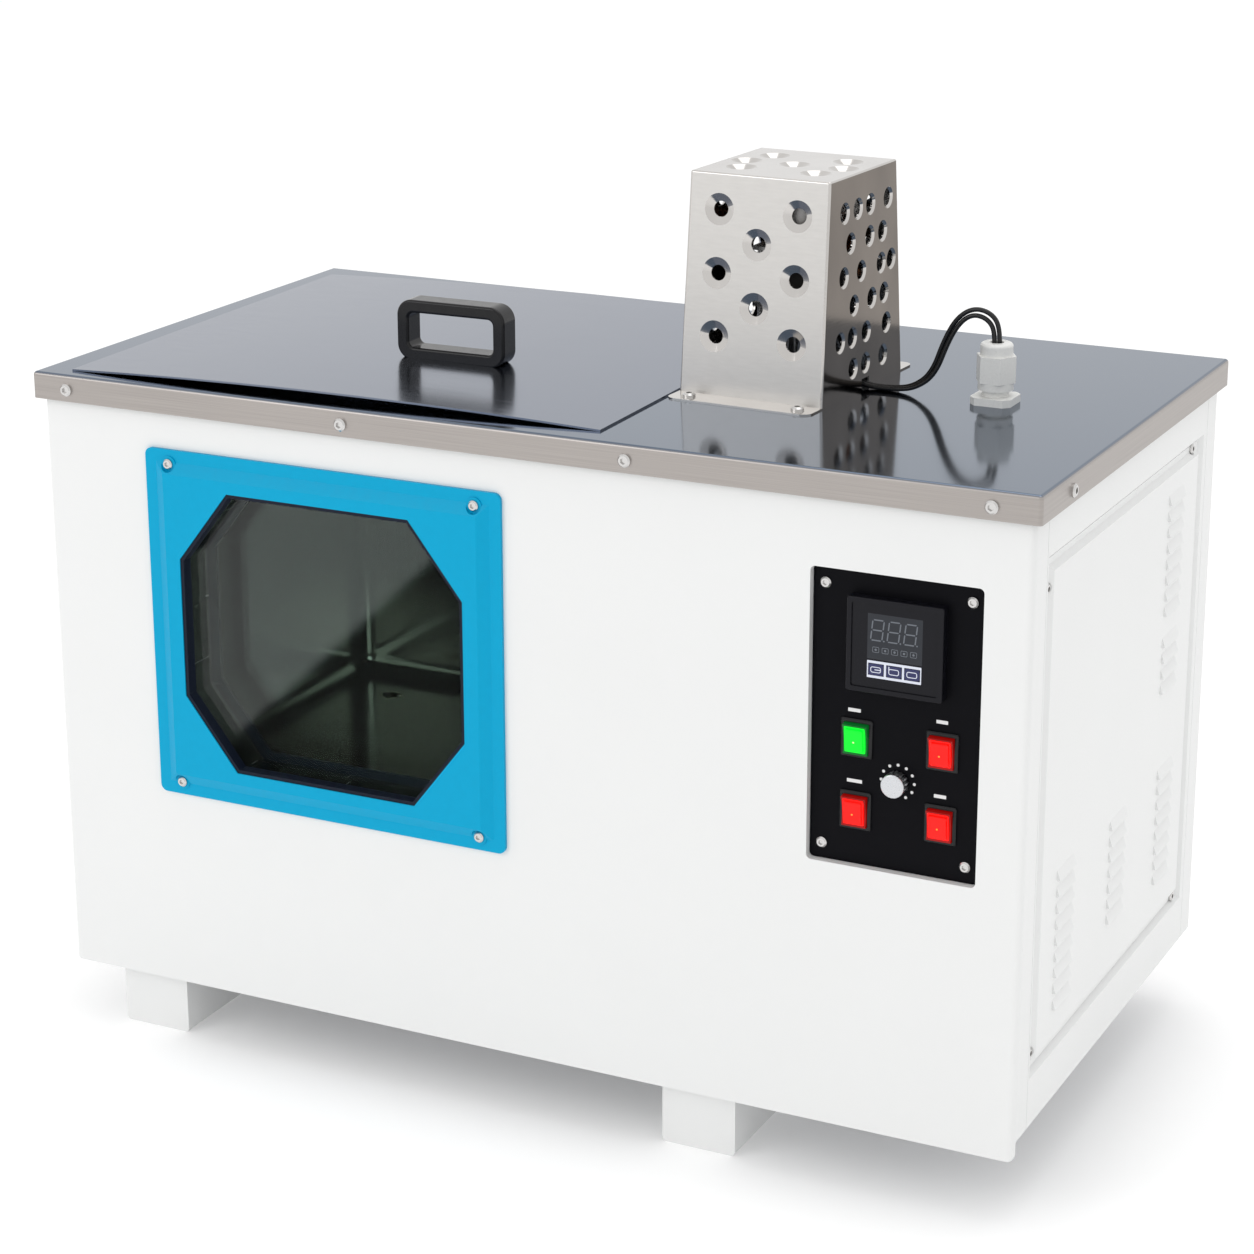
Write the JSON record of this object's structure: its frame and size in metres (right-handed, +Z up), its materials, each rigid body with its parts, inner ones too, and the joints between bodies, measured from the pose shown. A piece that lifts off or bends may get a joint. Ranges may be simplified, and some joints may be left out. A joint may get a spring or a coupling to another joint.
{
  "type": "water bath",
  "caption": "Stirred laboratory water bath with a double viewing window, a loose lid, a control panel and a stirrer motor under a perforated guard.",
  "frame": {"origin": "on the bench, under the middle of the whole bath's outer box", "axes": "+Z up, the window and the control panel face -Y, the louvred side faces +X"},
  "size_m": [0.8656, 0.5138, 0.747],
  "materials": {
    "white_paint": "smooth powder coat",
    "blue_paint": "satin paint",
    "panel_face": "satin black paint",
    "zinc_sheet": "plain zinc-coated sheet",
    "stainless": "brushed and polished stainless steel",
    "screw_steel": "polished screws",
    "shaft_steel": "ground steel",
    "core_steel": "varnished laminations",
    "winding": "enamelled copper wire",
    "wool": "mineral wool",
    "rubber_black": "black rubber",
    "pane_glass": "clear glass",
    "black_gloss": "glossy black",
    "black_matte": "matt black",
    "white_plastic": "white moulding",
    "lead_black": "black insulation",
    "display_grey": "unlit display",
    "key_blue": "dark blue keys",
    "lens_green": "translucent green",
    "lens_red": "translucent red",
    "knob_silver": "silver knob",
    "valve_brass": "plated brass",
    "lever_paint": "coated lever"
  },
  "bodies": {
    "cabinet": {"front_panel": "white_paint", "left_panel": "white_paint", "back_panel": "white_paint", "right_panel": "white_paint", "side_cover": "white_paint", "foot_rail_left": "white_paint", "foot_rail_right": "white_paint", "foot_end_plugs": "white_paint", "window_bezel": "blue_paint", "control_plate": "panel_face", "floor_pan": "zinc_sheet", "tank_bearers": "zinc_sheet", "bulkhead": "zinc_sheet", "top_plate": "stainless", "tank": "stainless", "motor_guard": "stainless", "window_collar": "stainless", "main_screws": "screw_steel", "small_screws": "screw_steel", "heater": "shaft_steel", "temperature_probe": "shaft_steel", "motor_frame": "shaft_steel", "motor_stator": "core_steel", "motor_coil": "winding", "tank_jacket": "wool", "inner_gasket": "rubber_black", "outer_gasket": "rubber_black", "inner_pane": "pane_glass", "outer_pane": "pane_glass", "controller_case": "black_gloss", "switch_left_upper": "black_gloss", "switch_left_lower": "black_gloss", "switch_right_upper": "black_gloss", "switch_right_lower": "black_gloss", "potentiometer": "black_matte", "relay": "black_matte", "mains_gland": "black_matte", "gland_body": "white_plastic", "gland_nut": "white_plastic", "motor_lead_left": "lead_black", "motor_lead_right": "lead_black", "controller_display": "display_grey", "drain_valve": "valve_brass", "drain_pipe": "valve_brass"},
    "stirrer": {"stirrer_shaft": "shaft_steel", "impeller": "shaft_steel"},
    "speed_control": {"speed_knob": "knob_silver", "pot_shaft": "shaft_steel"},
    "drain_cock": {"drain_ball": "valve_brass", "drain_lever": "lever_paint"},
    "lid": {"lid_sheet": "stainless", "lid_handle": "black_gloss", "handle_screws": "screw_steel"},
    "rocker_left_upper": {"rocker_left_upper": "lens_green"},
    "rocker_left_lower": {"rocker_left_lower": "lens_red"},
    "rocker_right_upper": {"rocker_right_upper": "lens_red"},
    "rocker_right_lower": {"rocker_right_lower": "lens_red"},
    "key_left": {"key_left": "key_blue"},
    "key_middle": {"key_middle": "key_blue"},
    "key_right": {"key_right": "key_blue"}
  },
  "joints": [
    {"name": "stirrer_spin", "type": "hinge", "parent": "cabinet", "child": "stirrer", "pos_m": [0.138, -0.0181, 0.573], "axis": [0, 0, 1], "continuous": true},
    {"name": "speed_turn", "type": "hinge", "parent": "cabinet", "child": "speed_control", "pos_m": [0.323, -0.2481, 0.3395], "axis": [0, -1, 0], "range_deg": [-150, 150]},
    {"name": "drain_turn", "type": "hinge", "parent": "cabinet", "child": "drain_cock", "pos_m": [-0.31, 0.2299, 0.155], "axis": [0, 0, 1], "range_deg": [0, 90]},
    {"name": "lid_lift", "type": "slide", "parent": "cabinet", "child": "lid", "axis": [0, 0, 1], "range_m": [0, 0.35]},
    {"name": "rock_left_upper", "type": "hinge", "parent": "cabinet", "child": "rocker_left_upper", "pos_m": [0.2903, -0.2421, 0.3686], "axis": [-1, 0, 0], "range_deg": [0, 12]},
    {"name": "rock_left_lower", "type": "hinge", "parent": "cabinet", "child": "rocker_left_lower", "pos_m": [0.2903, -0.2421, 0.312], "axis": [-1, 0, 0], "range_deg": [0, 12]},
    {"name": "rock_right_upper", "type": "hinge", "parent": "cabinet", "child": "rocker_right_upper", "pos_m": [0.3572, -0.2421, 0.3686], "axis": [-1, 0, 0], "range_deg": [0, 12]},
    {"name": "rock_right_lower", "type": "hinge", "parent": "cabinet", "child": "rocker_right_lower", "pos_m": [0.3572, -0.2421, 0.312], "axis": [-1, 0, 0], "range_deg": [0, 12]},
    {"name": "press_left", "type": "slide", "parent": "cabinet", "child": "key_left", "axis": [0, 1, 0], "range_m": [0, 0.0006], "stiffness_N_per_m": 800},
    {"name": "press_middle", "type": "slide", "parent": "cabinet", "child": "key_middle", "axis": [0, 1, 0], "range_m": [0, 0.0006], "stiffness_N_per_m": 800},
    {"name": "press_right", "type": "slide", "parent": "cabinet", "child": "key_right", "axis": [0, 1, 0], "range_m": [0, 0.0006], "stiffness_N_per_m": 800}
  ]
}
